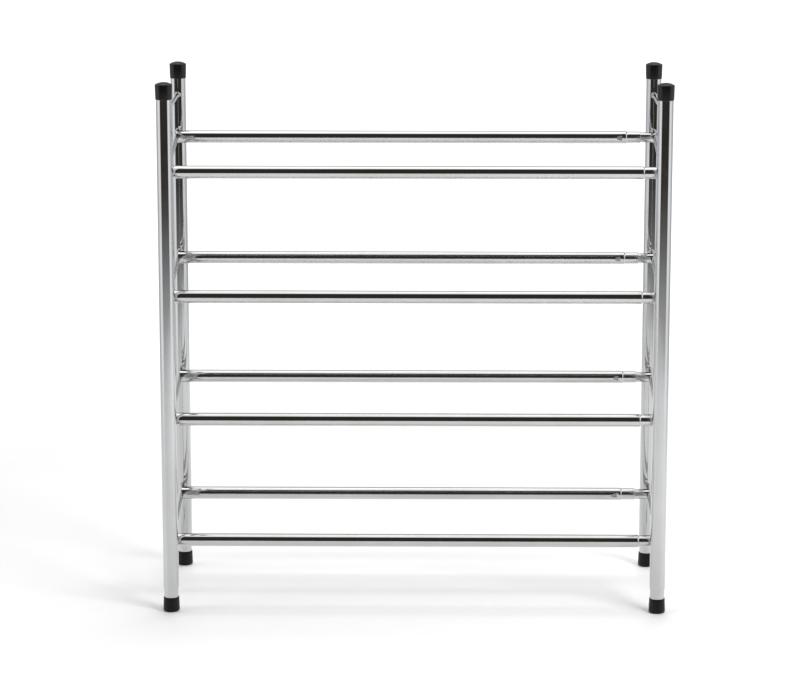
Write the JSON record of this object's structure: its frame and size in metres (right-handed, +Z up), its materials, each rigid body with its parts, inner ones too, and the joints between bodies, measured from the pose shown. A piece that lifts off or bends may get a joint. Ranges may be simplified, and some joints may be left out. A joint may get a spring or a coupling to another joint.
{
  "type": "tiered shoe rack",
  "caption": "Free-standing chromed tube rack with sloping open tiers for shoes, between two end frames whose telescoping rails pull out to a wider rack.",
  "frame": {"origin": "on the floor under the middle of the rack at its stored width", "axes": "+X along the rails to the right, +Y to the rear, +Z up"},
  "size_m": [0.6222, 0.2292, 0.658],
  "materials": {
    "chrome": "bright chrome plate on steel tube",
    "cap_plastic": "black moulded plastic, satin",
    "foot_rubber": "black rubber, matt",
    "glide_nylon": "natural nylon, satin"
  },
  "bodies": {
    "left_section": {"left_front_leg": "chrome", "left_front_cap": "cap_plastic", "left_front_foot": "foot_rubber", "left_rear_leg": "chrome", "left_rear_cap": "cap_plastic", "left_rear_foot": "foot_rubber", "left_top_crossbar": "chrome", "left_tier_1_rod": "chrome", "left_tier_2_rod": "chrome", "left_tier_3_rod": "chrome", "left_tier_4_rod": "chrome", "tier_1_front_outer_tube": "chrome", "tier_1_rear_outer_tube": "chrome", "tier_2_front_outer_tube": "chrome", "tier_2_rear_outer_tube": "chrome", "tier_3_front_outer_tube": "chrome", "tier_3_rear_outer_tube": "chrome", "tier_4_front_outer_tube": "chrome", "tier_4_rear_outer_tube": "chrome"},
    "right_section": {"right_front_leg": "chrome", "right_front_cap": "cap_plastic", "right_front_foot": "foot_rubber", "right_rear_leg": "chrome", "right_rear_cap": "cap_plastic", "right_rear_foot": "foot_rubber", "right_top_crossbar": "chrome", "right_tier_1_rod": "chrome", "right_tier_2_rod": "chrome", "right_tier_3_rod": "chrome", "right_tier_4_rod": "chrome", "tier_1_front_inner_tube": "chrome", "tier_1_rear_inner_tube": "chrome", "tier_2_front_inner_tube": "chrome", "tier_2_rear_inner_tube": "chrome", "tier_3_front_inner_tube": "chrome", "tier_3_rear_inner_tube": "chrome", "tier_4_front_inner_tube": "chrome", "tier_4_rear_inner_tube": "chrome", "tier_1_front_glide": "glide_nylon", "tier_1_rear_glide": "glide_nylon", "tier_2_front_glide": "glide_nylon", "tier_2_rear_glide": "glide_nylon", "tier_3_front_glide": "glide_nylon", "tier_3_rear_glide": "glide_nylon", "tier_4_front_glide": "glide_nylon", "tier_4_rear_glide": "glide_nylon"}
  },
  "joints": [
    {"name": "extend", "type": "slide", "parent": "left_section", "child": "right_section", "axis": [1, 0, 0], "range_m": [-0.001, 0.48]}
  ]
}
